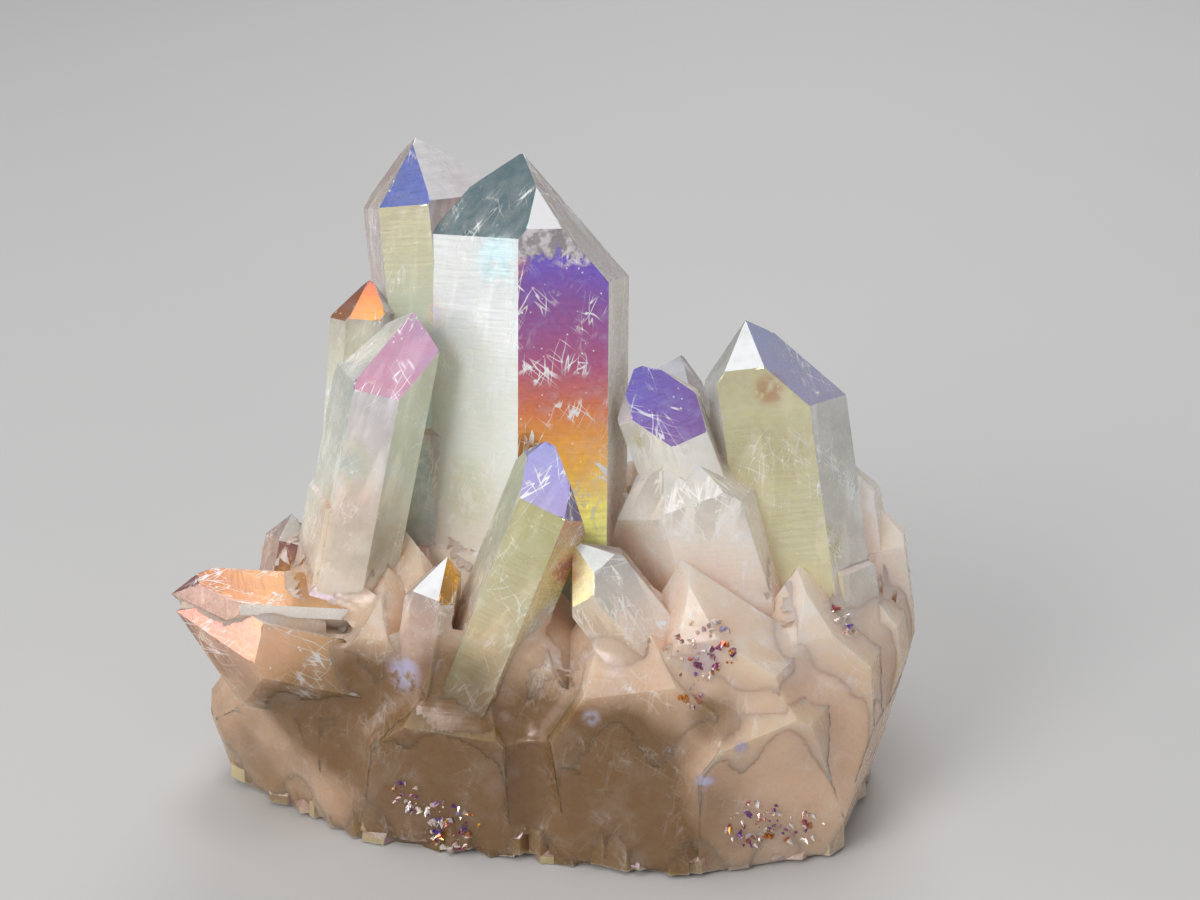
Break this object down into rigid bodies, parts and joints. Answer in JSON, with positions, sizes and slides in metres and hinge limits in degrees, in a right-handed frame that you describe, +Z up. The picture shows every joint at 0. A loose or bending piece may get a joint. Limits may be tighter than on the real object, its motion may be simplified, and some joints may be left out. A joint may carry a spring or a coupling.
{
  "type": "quartz cluster",
  "caption": "Free-standing aura quartz cluster: pointed six-sided crystals with a thin rainbow metal coat, grown together out of one milky foot.",
  "frame": {"origin": "centre of the bounding box at the ground it stands on", "axes": "+Z up from the ground to the tips, -Y towards the side with the largest crystal faces, +X to the right as seen from there, which is the longest extent"},
  "size_m": [0.0646, 0.0396, 0.0559],
  "materials": {
    "coated_quartz": "milky to clear quartz under a thin iridescent metal coat"
  },
  "bodies": {
    "root": {"quartz_cluster": "coated_quartz"}
  },
  "joints": []
}
